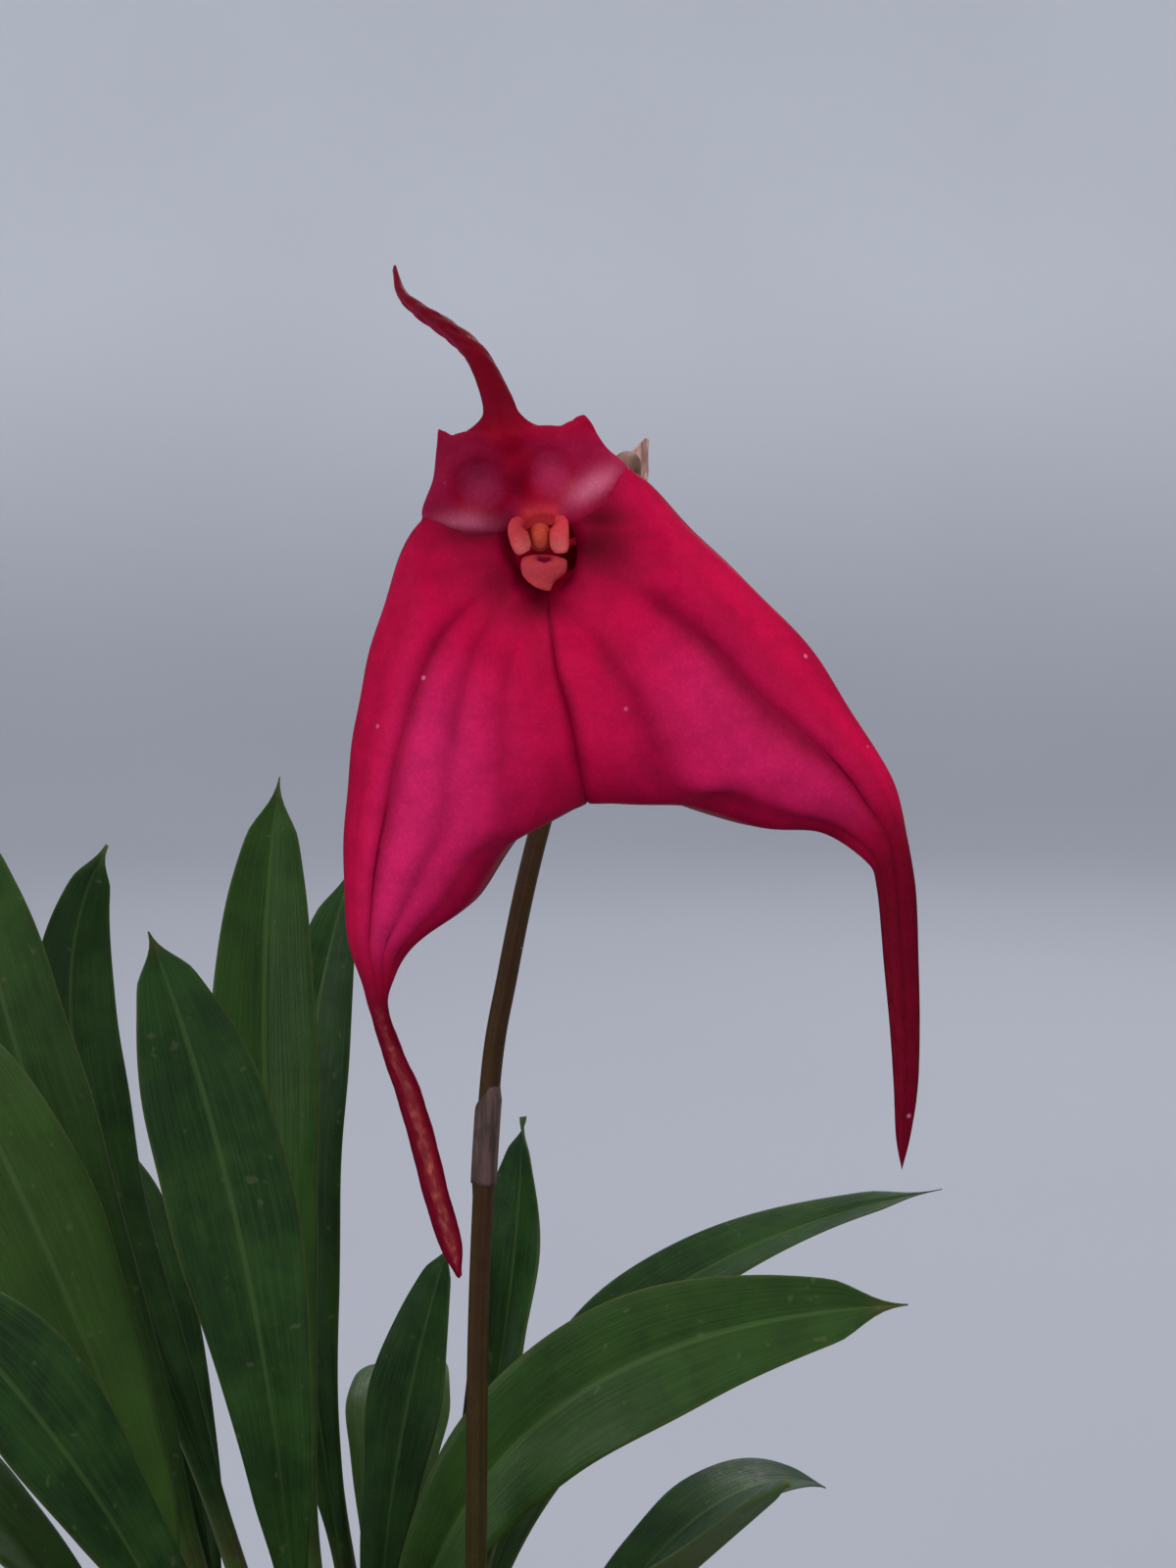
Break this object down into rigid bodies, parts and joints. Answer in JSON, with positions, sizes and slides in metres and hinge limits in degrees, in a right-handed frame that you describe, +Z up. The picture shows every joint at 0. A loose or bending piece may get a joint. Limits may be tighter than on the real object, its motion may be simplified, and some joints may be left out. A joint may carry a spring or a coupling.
{
  "type": "potted masdevallia orchid",
  "caption": "Small potted orchid with upright leathery spoon-shaped leaves and a slender bare stem holding a flat three-tailed crimson bloom, in a plain clay pot.",
  "frame": {"origin": "centre of the pot's flat foot", "axes": "+Z up along the pot's axis, -Y towards the side that the bloom faces, +X to the right as the bloom is seen from the front"},
  "size_m": [0.1362, 0.1172, 0.2454],
  "materials": {
    "clay": "plain unglazed fired clay",
    "bark": "coarse bark, dry, matt",
    "leaf": "thick leathery green leaf with a soft sheen",
    "scape": "dark purple-brown fleshy stem",
    "bract": "thin papery pinkish-brown bract",
    "ovary": "fleshy reddish-olive ovary and flower stalk",
    "sepal": "fleshy crimson-magenta tissue with a fine sparkle",
    "petal": "waxy salmon-pink tissue",
    "column": "waxy orange-pink tissue",
    "lip": "waxy rose-pink tissue with a dark red throat"
  },
  "bodies": {
    "root": {"pot": "clay", "potting_mix": "bark", "leaf_01": "leaf", "leaf_02": "leaf", "leaf_03": "leaf", "leaf_04": "leaf", "leaf_05": "leaf", "leaf_06": "leaf", "leaf_07": "leaf", "leaf_08": "leaf", "leaf_09": "leaf", "leaf_10": "leaf", "leaf_11": "leaf", "leaf_12": "leaf", "leaf_13": "leaf", "leaf_14": "leaf", "leaf_15": "leaf", "leaf_16": "leaf", "leaf_17": "leaf", "leaf_18": "leaf", "leaf_19": "leaf", "leaf_20": "leaf", "leaf_21": "leaf", "leaf_22": "leaf", "leaf_23": "leaf", "scape": "scape", "floral_bract": "bract", "ovary": "ovary", "sepals": "sepal", "petal_left": "petal", "petal_right": "petal", "column": "column", "lip": "lip"}
  },
  "joints": []
}
